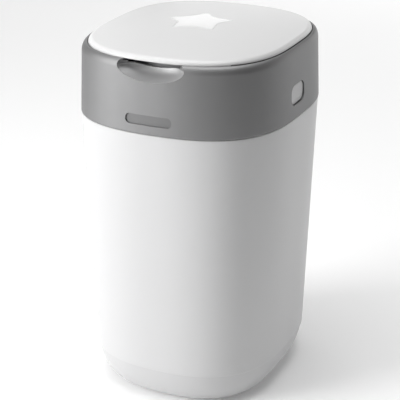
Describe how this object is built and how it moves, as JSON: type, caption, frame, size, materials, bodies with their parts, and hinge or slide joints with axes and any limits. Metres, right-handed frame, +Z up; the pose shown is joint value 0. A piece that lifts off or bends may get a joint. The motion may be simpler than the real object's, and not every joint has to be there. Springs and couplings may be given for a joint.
{
  "type": "nappy bin",
  "caption": "Tapered oval nappy bin with a tilting head, a hinged lid with a star inlay, a finger scoop, side release buttons and a twisting film cassette inside.",
  "frame": {"origin": "middle of the flat base on the floor", "axes": "+Z up, the front with the finger scoop towards -Y, the right-hand release button towards +X"},
  "size_m": [0.248, 0.276, 0.4261],
  "materials": {
    "white_shell": "smooth moulded white plastic with a soft sheen",
    "white_lid": "smooth moulded off-white plastic",
    "star_white": "bright white glossy inlay",
    "grey_band": "satin grey moulded plastic",
    "button_grey": "light grey satin plastic",
    "inner_plastic": "light grey moulded plastic",
    "dark_plastic": "dark grey moulded plastic",
    "soft_grey": "soft grey elastomer",
    "steel": "plain bright steel",
    "cassette_white": "thin white moulded plastic",
    "film": "gathered translucent film"
  },
  "bodies": {
    "tub": {"tub_shell": "white_shell", "tub_base": "white_shell", "head_hinge_pin": "steel"},
    "head": {"head_shell": "grey_band", "head_deck": "inner_plastic", "cassette_well": "inner_plastic", "well_floor": "inner_plastic", "deck_screws": "steel", "lid_hinge_pin": "steel", "film_gripper": "soft_grey", "gripper_retainer": "inner_plastic", "retainer_screws": "steel", "cutter_track": "inner_plastic", "pawl_pin": "steel", "pawl_spring": "steel"},
    "lid": {"lid_top": "white_lid", "lid_liner": "inner_plastic", "lid_liner_screws": "steel", "seal_ring": "inner_plastic", "lid_seal": "soft_grey", "lid_star": "star_white"},
    "cassette_turntable": {"cassette_carrier": "inner_plastic", "twist_ring": "inner_plastic", "throat_collar": "inner_plastic", "twist_grips": "dark_plastic", "cassette_tray": "cassette_white", "cassette_core": "cassette_white", "cassette_cap": "cassette_white", "film_pack": "film"},
    "pawl": {"click_pawl": "dark_plastic"},
    "cutter": {"cutter_slider": "dark_plastic", "cutter_blade": "steel"},
    "right_button": {"release_button_right": "button_grey", "button_spring_right": "steel"},
    "left_button": {"release_button_left": "button_grey", "button_spring_left": "steel"}
  },
  "joints": [
    {"name": "head_tilt", "type": "hinge", "parent": "tub", "child": "head", "pos_m": [0, 0.1321, 0.336], "axis": [-1, 0, 0], "range_deg": [0, 100]},
    {"name": "lid_swing", "type": "hinge", "parent": "head", "child": "lid", "pos_m": [0, 0.131, 0.4118], "axis": [-1, 0, 0], "range_deg": [0, 105]},
    {"name": "cassette_turn", "type": "hinge", "parent": "head", "child": "cassette_turntable", "pos_m": [0, 0, 0.36], "axis": [0, 0, 1], "continuous": true},
    {"name": "pawl_swing", "type": "hinge", "parent": "head", "child": "pawl", "pos_m": [-0.05988, 0.09583, 0.342], "axis": [0, 0, -1], "range_deg": [0, 8], "stiffness_Nm_per_rad": 0.03, "springref_deg": -5.73},
    {"name": "cutter_sweep", "type": "hinge", "parent": "head", "child": "cutter", "pos_m": [0, 0, 0.32], "axis": [0, 0, 1], "range_deg": [0, 88]},
    {"name": "right_button_press", "type": "slide", "parent": "head", "child": "right_button", "axis": [-1, 0, 0], "range_m": [0, 0.004], "stiffness_N_per_m": 300, "springref_m": -0.003},
    {"name": "left_button_press", "type": "slide", "parent": "head", "child": "left_button", "axis": [1, 0, 0], "range_m": [0, 0.004], "stiffness_N_per_m": 300, "springref_m": -0.003}
  ]
}
